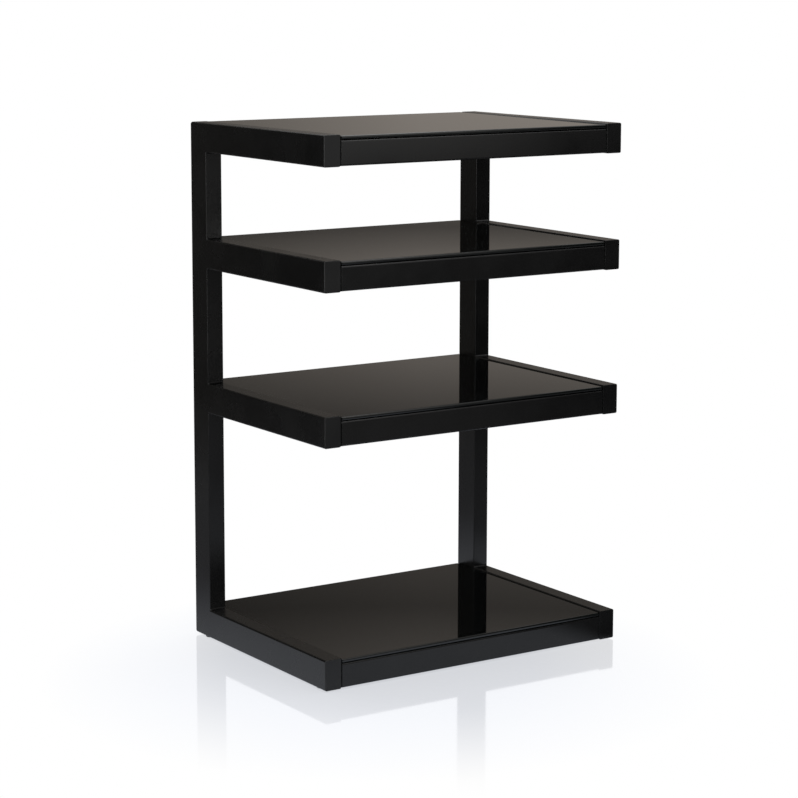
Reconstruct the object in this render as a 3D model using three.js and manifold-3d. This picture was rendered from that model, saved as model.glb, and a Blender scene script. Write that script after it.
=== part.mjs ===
// Audio equipment rack: two welded side frames of rectangular steel tube, each a rear post with four
// arms pointing forward, tied together at every arm by a front and a rear cross beam. Glass shelves
// rest on the beams. Millimetres, +Z up, front towards -Y, left and right as seen from the front,
// origin on the floor under the middle of the rack.

import * as THREE from 'three';
import { mergeVertices } from 'three/addons/utils/BufferGeometryUtils.js';
import Module from 'manifold-3d';

// Overall size
const rackWidth = 580;
const rackDepth = 420;

// Clear height between the arms of each bay, from the floor up
const bottomBayHeight = 340;
const middleBayHeight = 194;
const topBayHeight = 144;

// Tube of the side frames
const frameTubeWidth = 30;
const frameTubeDepth = 50;
const frameTubeWall = 2;
const frameTubeRadius = 3;
const frameCornerRadius = 4;
const frameArris = 1.2;
const endPlateThickness = 3;
const weldGap = 0.3;

// Tube of the cross beams, whose undersides lie a little above those of the arms
const beamHeight = 40;
const beamDepth = 30;
const beamWall = 2.5;
const beamRadius = 3;
const beamRise = 1;

// Spigot welded to an arm or a post, over which the end of a beam slips
const spigotReach = 45;
const spigotWall = 4;
const spigotClearance = 0.3;
const spigotWeldDepth = 1;

// Countersunk socket screw that locks a beam on its spigot from below
const screwShankDiameter = 5;
const screwLength = 12;
const screwTipChamfer = 0.8;
const screwFromBeamEnd = 25;
const screwClearance = 0.3;
const socketAcrossFlats = 3;
const socketDepth = 1.6;

// Toughened glass shelf
const glassThickness = 6;
const glassSideClearance = 1;
const glassCornerRadius = 3;
const glassArris = 0.8;

// Silicone pad between a beam and its shelf
const padDiameter = 12;
const padHeight = 1;
const padEdgeRound = 0.3;
const padFromBeamEnd = 70;

// Glide pressed into the underside of a bottom arm
const glideDiameter = 22;
const glideHeight = 2;
const glideEdgeRound = 0.8;
const glideStemDiameter = 8;
const glideStemLength = 9;
const glideStemChamfer = 1;
const glideStemClearance = 0.3;
const glideFromFrameEnd = 30;

// Inside corner radius of a tube as a share of its outside corner radius
const insideRadiusShare = 0.5;

// How far every cutting shape runs past the surface that it cuts
const cutOverrun = 1;

// Steps of each curve, for a length of arc, a bevel and a turned part
const outerCornerSteps = 2;
const innerCornerSteps = 1;
const bevelSteps = 2;
const turnedSteps = 12;
const hexSteps = 6;

const quarterTurn = Math.PI / 2;
const eighthTurn = Math.PI / 4;

// Turn of every round part and hole, so that no corners of two holes in one face line up
const facetTurn = quarterTurn / turnedSteps;

// Sizes that follow from the ones above
const levelNames = ['bottom', 'lower', 'upper', 'top'];
const bayHeights = [bottomBayHeight, middleBayHeight, topBayHeight];
const levelHeights = [0];
for (const bayHeight of bayHeights) {
  levelHeights.push(levelHeights.at(-1) + frameTubeDepth + bayHeight);
}
const topLevel = levelNames.length - 1;
const frameHeight = levelHeights[topLevel] + frameTubeDepth;
const frameX = rackWidth / 2 - frameTubeWidth / 2;
const postY = rackDepth / 2 - frameTubeDepth / 2;
const beamLength = rackWidth - 2 * frameTubeWidth;
const beamY = rackDepth / 2 - beamDepth / 2;
const beamZ = beamRise + beamHeight / 2;
const glassZ = beamRise + beamHeight + padHeight + glassThickness / 2;
const spigotSection = {
  across: beamDepth - 2 * (beamWall + spigotClearance),
  up: beamHeight - 2 * (beamWall + spigotClearance),
  radius: beamRadius * insideRadiusShare,
};

const sides = [
  { name: 'left', sign: -1 },
  { name: 'right', sign: 1 },
];
const ends = [
  { name: 'front', sign: -1 },
  { name: 'rear', sign: 1 },
];

// Colours and surfaces
const finishes = {
  frame: { color: 0x202124, roughness: 0.45, metalness: 0 },
  beam: { color: 0x222326, roughness: 0.45, metalness: 0 },
  glass: { color: 0x08090a, roughness: 0.05, metalness: 0 },
  pad: { color: 0xdfe3e4, roughness: 0.35, metalness: 0 },
  screw: { color: 0x2b2b2d, roughness: 0.4, metalness: 0.9 },
  glide: { color: 0x151516, roughness: 0.6, metalness: 0 },
};

const wasm = await Module();
wasm.setup();

// Closed solid of a geometry, ready to be joined or cut
function solid(geometry) {
  geometry.deleteAttribute('normal');
  geometry.deleteAttribute('uv');
  const merged = mergeVertices(geometry);
  const corners = merged.index.array;
  const triVerts = [];
  for (let i = 0; i < corners.length; i += 3) {
    const [a, b, c] = corners.slice(i, i + 3);
    if (a !== b && b !== c && c !== a) triVerts.push(a, b, c);
  }
  return new wasm.Manifold(new wasm.Mesh({
    numProp: 3,
    vertProperties: merged.attributes.position.array,
    triVerts: new Uint32Array(triVerts),
  }));
}

// Named piece of a solid, with a material of its own
function piece(name, body, finish) {
  const { vertProperties, triVerts } = body.getMesh();
  const geometry = new THREE.BufferGeometry();
  geometry.setAttribute('position', new THREE.BufferAttribute(vertProperties, 3));
  geometry.setIndex(new THREE.BufferAttribute(triVerts, 1));
  geometry.computeVertexNormals();
  const mesh = new THREE.Mesh(geometry, new THREE.MeshStandardMaterial({ ...finish, flatShading: true }));
  mesh.name = name;
  return mesh;
}

// Rectangle with round corners, centred on the origin
function roundedRectangle(width, height, radius) {
  const x = width / 2 - radius;
  const y = height / 2 - radius;
  const outline = new THREE.Shape();
  outline.absarc(x, y, radius, 0, quarterTurn);
  outline.absarc(-x, y, radius, quarterTurn, 2 * quarterTurn);
  outline.absarc(-x, -y, radius, 2 * quarterTurn, 3 * quarterTurn);
  outline.absarc(x, -y, radius, 3 * quarterTurn, 4 * quarterTurn);
  return outline;
}

// Straight bar centred on the origin along an axis, with rounded long edges and bevelled ends.
// It is across wide and up high, and a bar along z is up deep.
function bar(axis, across, up, length, radius, bevel = 0, cornerSteps = outerCornerSteps) {
  const geometry = new THREE.ExtrudeGeometry(roundedRectangle(across, up, radius), {
    depth: length - 2 * bevel,
    bevelEnabled: bevel > 0,
    bevelThickness: bevel,
    bevelSize: bevel,
    bevelOffset: -bevel,
    bevelSegments: bevelSteps,
    curveSegments: cornerSteps,
  });
  geometry.translate(0, 0, bevel - length / 2);
  if (axis !== 'z') geometry.rotateX(quarterTurn);
  if (axis === 'x') geometry.rotateZ(quarterTurn);
  return geometry;
}

// Bar that fills the inside of a tube of the given outside size
function bore(axis, across, up, length, radius, wall) {
  return bar(axis, across - 2 * wall, up - 2 * wall, length, radius * insideRadiusShare, 0, innerCornerSteps);
}

// Upright cylinder or cone whose lower end is at a height
function upright(x, y, lowerZ, lowerRadius, upperRadius, height, steps = turnedSteps) {
  const geometry = new THREE.CylinderGeometry(upperRadius, lowerRadius, height, steps);
  geometry.rotateX(quarterTurn);
  geometry.rotateZ(facetTurn);
  geometry.translate(x, y, lowerZ + height / 2);
  return geometry;
}

// Part turned about the upright axis from points of radius and height, listed from the bottom up
function turned(profile) {
  const points = profile.map(([radius, height]) => new THREE.Vector2(radius, height));
  const geometry = new THREE.LatheGeometry(points, turnedSteps);
  geometry.rotateX(quarterTurn);
  geometry.rotateZ(facetTurn);
  return geometry;
}

// Block that cuts a side frame tube square or on the mitre. Its face stands off the point (y, z) by half
// the weld gap, and the block fills the side to which the angle in the YZ plane points.
function endCut(y, z, angle) {
  const size = frameTubeWidth + 2 * frameTubeDepth + rackDepth / 2;
  const block = new THREE.BoxGeometry(size, size, size);
  block.translate(0, size / 2 - weldGap / 2, 0);
  block.rotateX(angle);
  block.translate(0, y, z);
  return solid(block);
}

// Side view of a whole side frame, with its rear corners ground round after welding
function sideOutline() {
  const depth = rackDepth + frameCornerRadius + cutOverrun;
  const width = frameTubeWidth + 2 * cutOverrun;
  const outline = bar('x', depth, frameHeight, width, frameCornerRadius);
  outline.translate(0, rackDepth / 2 - depth / 2, frameHeight / 2);
  return solid(outline);
}

// Weld at the root of a spigot, which bites into the wall of the tube behind it
function spigotWeld(inward, y, z) {
  const { across, up, radius } = spigotSection;
  const weld = bar('x', across, up, 2 * spigotWeldDepth, radius, 0, innerCornerSteps);
  weld.translate(inward * frameTubeWidth / 2, y, z);
  return solid(weld);
}

// Short tube that stands on the inner face of the frame, closed at its root by the weld and tapped
// through its lower wall
function spigot(inward, y, z) {
  const { across, up, radius } = spigotSection;
  const faceX = inward * frameTubeWidth / 2;
  const stub = bar('x', across, up, spigotReach, radius, 0, innerCornerSteps);
  stub.translate(faceX + inward * spigotReach / 2, y, z);
  const hollowLength = spigotReach - spigotWeldDepth + cutOverrun;
  const hollow = bore('x', across, up, hollowLength, radius, spigotWall);
  hollow.translate(faceX + inward * (spigotWeldDepth + hollowLength / 2), y, z);
  const holeRadius = screwShankDiameter / 2 + screwClearance;
  const holeX = faceX + inward * screwFromBeamEnd;
  const hole = upright(
    holeX, y, z - up / 2 - cutOverrun, holeRadius, holeRadius, spigotWall + 2 * cutOverrun,
  );
  return solid(stub).subtract(solid(hollow)).subtract(solid(hole));
}

// Tube with its ends cut to meet its neighbours and spigots on its inner face
function frameMember(tube, cuts, spigotPlaces, inward) {
  let member = tube;
  for (const [y, z] of spigotPlaces) {
    member = member.add(spigotWeld(inward, y, z));
  }
  for (const cut of cuts) {
    member = member.subtract(cut);
  }
  member = member.intersect(sideOutline());
  for (const [y, z] of spigotPlaces) {
    member = member.add(spigot(inward, y, z));
  }
  return member;
}

// Rear post, mitred at both ends to the bottom and top arms, with a spigot for each rear beam
function post(inward) {
  const tube = bar('z', frameTubeWidth, frameTubeDepth, frameHeight, frameTubeRadius);
  const hollow = bore(
    'z', frameTubeWidth, frameTubeDepth, frameHeight + 2 * cutOverrun, frameTubeRadius, frameTubeWall,
  );
  for (const geometry of [tube, hollow]) {
    geometry.translate(0, postY, frameHeight / 2);
  }
  const cuts = [
    endCut(postY, frameTubeDepth / 2, -3 * eighthTurn),
    endCut(postY, frameHeight - frameTubeDepth / 2, 3 * eighthTurn),
  ];
  const places = levelHeights.map((height) => [beamY, height + beamZ]);
  return frameMember(solid(tube).subtract(solid(hollow)), cuts, places, inward);
}

// Arm with its front end closed by a welded plate and a spigot for its front beam. The bottom and top arms
// meet the post on the mitre, the others butt against it.
function arm(level, inward) {
  const middleZ = levelHeights[level] + frameTubeDepth / 2;
  const length = rackDepth + frameArris;
  const tube = bar('y', frameTubeWidth, frameTubeDepth, length, frameTubeRadius, frameArris);
  tube.translate(0, frameArris / 2, middleZ);
  const hollow = bore('y', frameTubeWidth, frameTubeDepth, length, frameTubeRadius, frameTubeWall);
  hollow.translate(0, frameArris / 2 + endPlateThickness, middleZ);
  const mitres = { 0: eighthTurn, [topLevel]: -eighthTurn };
  const rearCut = level in mitres
    ? endCut(postY, middleZ, mitres[level])
    : endCut(postY - frameTubeDepth / 2 - weldGap / 2, middleZ, 0);
  let body = frameMember(
    solid(tube).subtract(solid(hollow)), [rearCut], [[-beamY, levelHeights[level] + beamZ]], inward,
  );
  if (level === 0) {
    for (const end of ends) {
      body = body.subtract(glideHole(end.sign * (rackDepth / 2 - glideFromFrameEnd)));
    }
  }
  return body;
}

// Hole in the underside of a bottom arm for the stem of a glide
function glideHole(y) {
  const radius = glideStemDiameter / 2 + glideStemClearance;
  return solid(upright(0, y, -cutOverrun, radius, radius, frameTubeWall + 2 * cutOverrun));
}

// Side frame: a post and an arm at every level, welded into one
function sideFrame(side) {
  const frame = new THREE.Group();
  frame.position.set(side.sign * frameX, 0, glideHeight);
  frame.add(piece(`${side.name}_post`, post(-side.sign), finishes.frame));
  levelNames.forEach((levelName, level) => {
    frame.add(piece(`${levelName}_${side.name}_arm`, arm(level, -side.sign), finishes.frame));
  });
  return frame;
}

// Cross beam, open at both ends, countersunk from below for the screws
function beam() {
  const tube = bar('x', beamDepth, beamHeight, beamLength, beamRadius);
  const hollow = bore('x', beamDepth, beamHeight, beamLength + 2 * cutOverrun, beamRadius, beamWall);
  let body = solid(tube).subtract(solid(hollow));
  const upperRadius = screwShankDiameter / 2 + screwClearance - cutOverrun;
  const depth = beamWall + 2 * cutOverrun;
  for (const side of sides) {
    const x = side.sign * (beamLength / 2 - screwFromBeamEnd);
    const seat = upright(x, 0, -beamHeight / 2 - cutOverrun, upperRadius + depth, upperRadius, depth);
    body = body.subtract(solid(seat));
  }
  return body;
}

// Countersunk screw standing on the face of its head, whose cone is as deep as the beam's wall
function beamScrew() {
  const shankRadius = screwShankDiameter / 2;
  const shank = turned([
    [0, 0],
    [shankRadius + beamWall, 0],
    [shankRadius, beamWall],
    [shankRadius, screwLength - screwTipChamfer],
    [shankRadius - screwTipChamfer, screwLength],
    [0, screwLength],
  ]);
  const socketRadius = socketAcrossFlats / 2 / Math.cos(Math.PI / hexSteps);
  const socket = upright(0, 0, -cutOverrun, socketRadius, socketRadius, socketDepth + cutOverrun, hexSteps);
  return solid(shank).subtract(solid(socket));
}

// Low round pad with a softened upper edge
function pad() {
  const radius = padDiameter / 2;
  return solid(turned([
    [0, 0],
    [radius, 0],
    [radius, padHeight - padEdgeRound],
    [radius - padEdgeRound, padHeight],
    [0, padHeight],
  ]));
}

// Glide: a flat foot with a stem that presses into the arm above it
function glide() {
  const radius = glideDiameter / 2;
  const stemRadius = glideStemDiameter / 2;
  const tipZ = glideHeight + glideStemLength;
  return solid(turned([
    [0, 0],
    [radius - glideEdgeRound, 0],
    [radius, glideEdgeRound],
    [radius, glideHeight],
    [stemRadius, glideHeight],
    [stemRadius, tipZ - glideStemChamfer],
    [stemRadius - glideStemChamfer, tipZ],
    [0, tipZ],
  ]));
}

// Shelf with small round corners and eased edges
function glassShelf() {
  const width = beamLength - 2 * glassSideClearance;
  return solid(bar('z', width, rackDepth, glassThickness, glassCornerRadius, glassArris));
}

// Puts a piece at a place and returns it
function placed(mesh, x, y, z) {
  mesh.position.set(x, y, z);
  return mesh;
}

// Everything that spans the two side frames at one level, measured from the underside of its arms
function crossMembers(levelName, level) {
  const group = new THREE.Group();
  group.position.z = glideHeight + levelHeights[level];
  group.add(placed(piece(`${levelName}_glass_shelf`, glassShelf(), finishes.glass), 0, 0, glassZ));
  for (const end of ends) {
    const y = end.sign * beamY;
    group.add(placed(piece(`${levelName}_${end.name}_beam`, beam(), finishes.beam), 0, y, beamZ));
    for (const side of sides) {
      const corner = `${levelName}_${end.name}_${side.name}`;
      const padX = side.sign * (beamLength / 2 - padFromBeamEnd);
      const screwX = side.sign * (beamLength / 2 - screwFromBeamEnd);
      group.add(placed(piece(`${corner}_pad`, pad(), finishes.pad), padX, y, beamRise + beamHeight));
      group.add(placed(piece(`${corner}_screw`, beamScrew(), finishes.screw), screwX, y, beamRise));
    }
  }
  return group;
}

// The four glides under the bottom arms
function glides() {
  const group = new THREE.Group();
  for (const side of sides) {
    for (const end of ends) {
      const y = end.sign * (rackDepth / 2 - glideFromFrameEnd);
      group.add(placed(piece(`${end.name}_${side.name}_glide`, glide(), finishes.glide), side.sign * frameX, y, 0));
    }
  }
  return group;
}

const rack = new THREE.Group();
rack.add(...sides.map(sideFrame));
rack.add(...levelNames.map(crossMembers));
rack.add(glides());

export default rack;
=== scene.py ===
# Audio equipment rack: two welded side frames and eight cross beams of powder-coated steel tube, with
# four black glass shelves. Metres, +Z up, front towards -Y, left and right as seen from the front.
import math

import bmesh
import bpy
from mathutils import Matrix, Vector


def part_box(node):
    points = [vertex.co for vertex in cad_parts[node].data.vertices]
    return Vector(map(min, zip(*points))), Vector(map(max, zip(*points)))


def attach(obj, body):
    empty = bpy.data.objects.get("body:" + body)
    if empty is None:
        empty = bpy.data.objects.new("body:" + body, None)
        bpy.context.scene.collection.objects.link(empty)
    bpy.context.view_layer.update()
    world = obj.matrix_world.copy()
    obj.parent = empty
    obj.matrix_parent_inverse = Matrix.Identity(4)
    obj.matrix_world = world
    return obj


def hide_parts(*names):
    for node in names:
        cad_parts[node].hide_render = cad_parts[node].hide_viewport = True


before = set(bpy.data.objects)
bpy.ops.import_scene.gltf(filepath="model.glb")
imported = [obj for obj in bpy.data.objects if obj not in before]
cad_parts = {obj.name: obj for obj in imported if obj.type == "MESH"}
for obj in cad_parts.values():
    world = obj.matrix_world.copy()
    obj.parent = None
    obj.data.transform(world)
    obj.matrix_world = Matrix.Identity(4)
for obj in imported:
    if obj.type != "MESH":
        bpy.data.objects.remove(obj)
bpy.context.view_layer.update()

MM = 0.001
LEVELS = ("bottom", "lower", "upper", "top")
ENDS = ("front", "rear")
SIDES = ("left", "right")

# Steel tube of the side frames, after welding and grinding
FRAME_CORNER_RADIUS = 4 * MM
FRAME_EDGE_RADIUS = 3 * MM
POST_EDGE_RADIUS = 1 * MM
FRAME_FRONT_ARRIS = 1.2 * MM
FRAME_WELD_FILLET = 2.4 * MM
FRAME_ROUND_STEPS = 5
END_PLATE_THICKNESS = 3 * MM

# Arris of a side frame's front beside the groove where the front beams end
FRAME_GROOVE_ARRIS = {"left": 1.2 * MM, "right": 0.35 * MM}

# Steel tube of the cross beams, which stop short of the side frames by a narrow groove
BEAM_EDGE_RADIUS = 3 * MM
BEAM_WALL = 2.5 * MM
BEAM_END_ARRIS = 1.8 * MM
BEAM_END_GAP = 1.6 * MM
BEAM_ROUND_STEPS = 5
BEAM_ARRIS_STEPS = 2

# Inside corner radius of a tube as a share of its outside corner radius
INSIDE_RADIUS_SHARE = 0.5

# Spigots welded to the frames inside the beam ends
SPIGOT_WALL = 4 * MM
SPIGOT_CLEARANCE = 0.3 * MM
SPIGOT_REACH = 45 * MM
SPIGOT_ROUND_STEPS = 3

# Countersunk screws that lock the beams from below
SCREW_SHANK_RADIUS = 2.5 * MM
SCREW_TIP_CHAMFER = 0.8 * MM
SCREW_HEAD_ARRIS = 0.25 * MM
SCREW_CLEARANCE = 0.3 * MM
SCREW_SOCKET_RADIUS = 1.73 * MM
SCREW_SOCKET_DEPTH = 1.6 * MM
SCREW_SOCKET_SIDES = 6

# Glass shelves, whose edge is a half round
GLASS_CORNER_RADIUS = 3 * MM
GLASS_EDGE_CROWN = 2 * MM
GLASS_EDGE_STEPS = 14
GLASS_CORNER_STEPS = 8

# Silicone pads and polyethylene glides
PAD_EDGE_ROUND = 0.3 * MM
GLIDE_EDGE_ROUND = 0.8 * MM
GLIDE_FOOT_HEIGHT = 2 * MM
GLIDE_STEM_RADIUS = 4 * MM
GLIDE_STEM_CHAMFER = 1 * MM
TURNED_STEPS = 48
TURNED_ROUND_STEPS = 4

# How far a cutting shape runs past the surface that it cuts, how close two points are one, and the angle
# from which an edge between two faces is sharp
CUT_OVERRUN = 1 * MM
SAME_POINT = 0.002 * MM
SMOOTH_ANGLE = math.radians(32)

# Patterns of the surfaces, as millimetres from one feature to the next
ORANGE_PEEL_SIZE = 2.5
COAT_CLOUD_SIZE = 70
COAT_GRIT_SIZE = 0.9
ROLLER_WAVE_SIZE = 260
GLASS_HAZE_SIZE = 45
WHEEL_LINE_SIZE = 14
SILICONE_PIT_SIZE = 1.2
OXIDE_FILM_SIZE = 1.5
DRAW_LINE_SIZE = 0.8
MOULD_GRAIN_SIZE = 0.8
FLOOR_CLOUD_SIZE = 40

# Scales of the coordinates that draw a pattern out into lines, along the glass edge and along a tube
WHEEL_LINE_SCALE = (1, 1, 20)
DRAW_LINE_SCALE = (0.05, 1, 1)

# Range that most values of a noise pattern lie in, and that of the product of two
NOISE_RANGE = {"From Min": 0.3, "From Max": 0.7}
NOISE_PRODUCT_RANGE = {"From Min": 0.15, "From Max": 0.35}

# Powder coats: their darkest and lightest black, middle roughness and IOR, how far the roughness strays
# from its middle, and what the ground front of an end plate adds to it
LEFT_COAT = {"dark": "#090909", "light": "#0f0f0f", "roughness": 0.26, "ior": 1.42}
RIGHT_COAT = {"dark": "#090909", "light": "#0f0f0f", "roughness": 0.21, "ior": 1.43}
BEAM_COAT = {"dark": "#0a0a0a", "light": "#101010", "roughness": 0.21, "ior": 1.41}
COAT_ROUGHNESS_SPREAD = (-0.03, 0.04)
END_PLATE_DULLING = 0.15

# Camera of the photograph: its place, its direction and its lens
CAMERA_PLACE = (-2.2525, -3.3569, 1.1284)
CAMERA_YAW = math.radians(33.725)
CAMERA_PITCH = math.radians(-8.909)
CAMERA_ROLL = math.radians(0.122)
CAMERA_LENS = 109.59
CAMERA_SHIFT = -0.0602
CAMERA_NEAR = 0.05
CAMERA_FAR = 200.0

# World: the tone and strength of its soft light, and the white that shows behind everything
WHITE = "#ffffff"
DAYLIGHT = "#f4f6f8"
DAYLIGHT_STRENGTH = 0.7

# Soft boxes, with their width and height in metres and their power in watts
OVERHEAD_BOX = {"place": (0.0, -0.2, 2.6), "target": (0.0, 0.0, 0.4), "size": (2.4, 1.8), "power": 36.0,
                "colour": "#fffefc"}
LEFT_BOX = {"place": (-1.95, -1.95, 0.645), "target": (0.0, 0.0, 0.645), "size": (3.0, 0.45),
            "power": 42.0, "colour": WHITE}

# Floor, whose mirror image fades out from POOL_REACH to FADE_REACH round POOL_CENTRE
FLOOR_SIZE = 12.0
FLOOR_WHITES = ("#eff2f9", "#f3f6fc")
FLOOR_IOR = 1.49
FLOOR_ROUGHNESS = (0.04, 0.07)
POOL_CENTRE = (0.06, -0.08, 0.0)
POOL_REACH = 0.32
FADE_REACH = 0.82

# Light from inside the floor: its share rises from GLOW_SHARE to 1 over GLOW_REACH round GLOW_CENTRE,
# and for the camera its colour goes from the first tone to the second there. The first tone is a painted
# bluish shade near the rack.
GLOW_SHARE = 0.8
GLOW_CENTRE = (-0.15, -0.15, 0.0)
GLOW_REACH = (0.25, 0.55)
GLOW_TONES = ("#f8faff", WHITE)

# Colour of that light for all rays but the camera's, at shares of the reach given below from POOL_CENTRE:
# painted darker near the rack, as painted reflection in the gloss and painted bounce light, white far out
PAINTED_TONE_REACH = 2.0
PAINTED_REFLECTION_AND_BOUNCE_TONES = (
    (0.16, "#bcc3d0"), (0.30, "#a1a4ad"), (0.42, "#78787b"), (0.85, "#78787b"), (0.92, WHITE),
)

# Painted dark patch on the floor in front of the rack's right side, seen only in the gloss, a painted
# reflection that darkens the right end of the bottom front beam: its grey, where its edges fade and how
# far out it ends
PAINTED_PATCH_GREY = "#3a3a3b"
PAINTED_PATCH_EDGE_X = (0.22, 0.29)
PAINTED_PATCH_EDGE_Y = (-0.23, -0.20)
PAINTED_PATCH_REACH = (0.60, 0.75)

# Scrim round the rack that only the gloss shows, whose tints and greys are painted reflections, and the
# grey of painted reflection that comes through it even where it is darkest
SCRIM_RADIUS = 1.7
SCRIM_HEIGHT = 1.9
SCRIM_STEPS = 96
SCRIM_LEAST_REFLECTION = "#1c1c1c"

# Tint of the scrim at angles round it from +X, in degrees
SCRIM_TINTS = (
    (-180, "#1c1c1b"), (-165, "#5c5b59"), (-112, "#5c5b59"), (-98, "#ffffff"), (-70, "#fbfaf8"),
    (-62, "#eceae8"), (-57, "#dcdad8"), (-55, "#a09e9c"), (-52.5, "#121211"), (-38, "#121211"),
    (-18, "#3e3b35"), (18, "#736e67"), (36, "#938c84"), (55, "#8d867f"), (72, "#67625c"),
    (108, "#5c5852"), (122, "#403d39"), (126, "#322f2c"), (129, "#161513"), (133, "#080807"),
    (160, "#080807"), (180, "#1c1c1b"),
)

# Grey of the scrim at heights in metres, in front of the rack and behind it, and where one fades into
# the other along Y. On the far left, along X, it fades to white, which leaves the tint alone.
FRONT_GREYS = (
    (0.0, "#929292"), (0.12, "#929292"), (0.3, "#666666"), (0.45, "#545454"), (0.6, "#5c5c5c"),
    (0.68, "#868686"), (0.78, WHITE),
)
BACK_GREYS = (
    (0.0, "#ececec"), (0.3, "#c8c8c8"), (0.5, "#9c9c9c"), (0.67, "#ececec"), (0.84, "#949494"),
    (0.95, WHITE),
)
FRONT_TO_BACK = (-0.2, 0.2)
FAR_LEFT = (-0.9, -0.5)


def linear(hex_colour):
    """Linear colour of an sRGB hex value such as #8090a0."""
    channels = [int(hex_colour[i:i + 2], 16) / 255 for i in (1, 3, 5)]
    bent = [c / 12.92 if c <= 0.04045 else ((c + 0.055) / 1.055) ** 2.4 for c in channels]
    return (*bent, 1.0)


def across(size_mm):
    """Scale of a texture on coordinates in metres whose features are that many millimetres apart."""
    return 1000 / size_mm


def live_socket(sockets, name=None):
    """First socket in use, or the first in use of that name, as a node may have several of one name."""
    return next(socket for socket in sockets if socket.enabled and name in (None, socket.name))


def set_stops(color_ramp, stops):
    """Gives a colour ramp these stops, each a position and a hex value."""
    elements = color_ramp.elements
    elements.remove(elements[1])
    for i, (position, colour) in enumerate(stops):
        element = elements[0] if i == 0 else elements.new(position)
        element.position = position
        element.color = linear(colour)


def add(tree, kind, inputs=None, stops=None, **settings):
    """Adds a node with its settings, and with its inputs set to values or linked to nodes and outputs.

    An input goes by its name or its number. A list links all that it holds."""
    node = tree.nodes.new(kind)
    for name, value in settings.items():
        setattr(node, name, value)
    if stops:
        set_stops(node.color_ramp, stops)
    for name, given in (inputs or {}).items():
        socket = node.inputs[name] if isinstance(name, int) else live_socket(node.inputs, name)
        for value in given if isinstance(given, list) else [given]:
            if isinstance(value, bpy.types.Node):
                value = live_socket(value.outputs)
            if isinstance(value, bpy.types.NodeSocket):
                tree.links.new(value, socket)
            else:
                socket.default_value = value
    return node


def empty_material(name):
    """New material with an empty tree. Returns it, the tree and the coordinates of its object."""
    material = bpy.data.materials.new(name)
    material.use_nodes = True
    tree = material.node_tree
    tree.nodes.clear()
    return material, tree, add(tree, "ShaderNodeTexCoord").outputs["Object"]


def new_material(name, surface, **inputs):
    """Material whose Principled shader has these values, and what surface(tree, place) links to it.

    surface returns the shader inputs that its patterns go to, as a dictionary."""
    material, tree, place = empty_material(name)
    settings = {key.replace("_", " "): value for key, value in inputs.items()}
    settings.update(surface(tree, place))
    shader = add(tree, "ShaderNodeBsdfPrincipled", settings)
    add(tree, "ShaderNodeOutputMaterial", {"Surface": shader})
    return material


def powder_coat(name, dark, light, roughness, ior, plate_front=None):
    """Powder coat on steel, sprayed and cured: a satin black film with the slight orange peel of the
    melted powder, which breaks up the edge of every highlight, and cloudy changes of gloss. Over the
    end plates, whose fronts lie at plate_front and are ground by hand, the film is duller."""
    def surface(tree, place):
        # Orange peel is about 1 mm across. It is drawn 2.5 mm across, so that it shows.
        peel = add(tree, "ShaderNodeTexNoise",
                   {"Vector": place, "Scale": across(ORANGE_PEEL_SIZE), "Detail": 1.5, "Roughness": 0.45})
        clouds = add(tree, "ShaderNodeTexNoise",
                     {"Vector": place, "Scale": across(COAT_CLOUD_SIZE), "Detail": 3.0})
        grit = add(tree, "ShaderNodeTexNoise",
                   {"Vector": place, "Scale": across(COAT_GRIT_SIZE), "Detail": 1.0})
        tone = add(tree, "ShaderNodeMath", {0: clouds, 1: grit}, operation="MULTIPLY")
        lightness = add(tree, "ShaderNodeMapRange",
                        {"Value": tone, **NOISE_PRODUCT_RANGE, "To Min": 0.0, "To Max": 1.0})
        smoother, rougher = COAT_ROUGHNESS_SPREAD
        dullness = add(tree, "ShaderNodeMapRange",
                       {"Value": clouds, **NOISE_RANGE, "To Min": roughness + smoother,
                        "To Max": roughness + rougher})
        if plate_front is not None:
            depth = add(tree, "ShaderNodeSeparateXYZ", {"Vector": place}).outputs["Y"]
            plate = add(tree, "ShaderNodeMapRange",
                        {"Value": depth, "From Min": plate_front + END_PLATE_THICKNESS / 2,
                         "From Max": plate_front + END_PLATE_THICKNESS, "To Min": END_PLATE_DULLING,
                         "To Max": 0.0})
            dullness = add(tree, "ShaderNodeMath", {0: dullness, 1: plate}, operation="ADD")
        return {
            "Base Color": add(tree, "ShaderNodeMix",
                              {"Factor": lightness, "A": linear(dark), "B": linear(light)},
                              data_type="RGBA"),
            "Roughness": dullness,
            "Normal": add(tree, "ShaderNodeBump",
                          {"Height": peel, "Strength": 0.35, "Distance": 0.02 * MM}),
        }
    return new_material(name, surface, IOR=ior)


def patterned(tree, pattern, tones, roughness):
    """Colour and roughness that both run from their first value to their second with a noise pattern."""
    first, second = tones
    smoothest, roughest = roughness
    colour = add(tree, "ShaderNodeMix", {"Factor": pattern, "A": linear(first), "B": linear(second)},
                 data_type="RGBA")
    dullness = add(tree, "ShaderNodeMapRange",
                   {"Value": pattern, **NOISE_RANGE, "To Min": smoothest, "To Max": roughest})
    return colour, dullness


def black_glass():
    """Tempered float glass with a black ceramic enamel fired on its underside: a mirror-flat face that
    shows only what it reflects, with the faint wave that the rollers of the furnace leave."""
    def surface(tree, place):
        wave = add(tree, "ShaderNodeTexWave",
                   {"Vector": place, "Scale": across(ROLLER_WAVE_SIZE), "Distortion": 1.5, "Detail": 1.0},
                   bands_direction="Y")
        haze = add(tree, "ShaderNodeTexNoise",
                   {"Vector": place, "Scale": across(GLASS_HAZE_SIZE), "Detail": 4.0})
        colour, dullness = patterned(tree, haze, tones=("#050606", "#090a0a"), roughness=(0.02, 0.05))
        relief = add(tree, "ShaderNodeBump", {"Height": wave, "Strength": 0.15, "Distance": 0.02 * MM})
        return {"Base Color": colour, "Roughness": dullness, "Normal": relief}
    return new_material("black_tempered_glass", surface, IOR=1.52)


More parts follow.
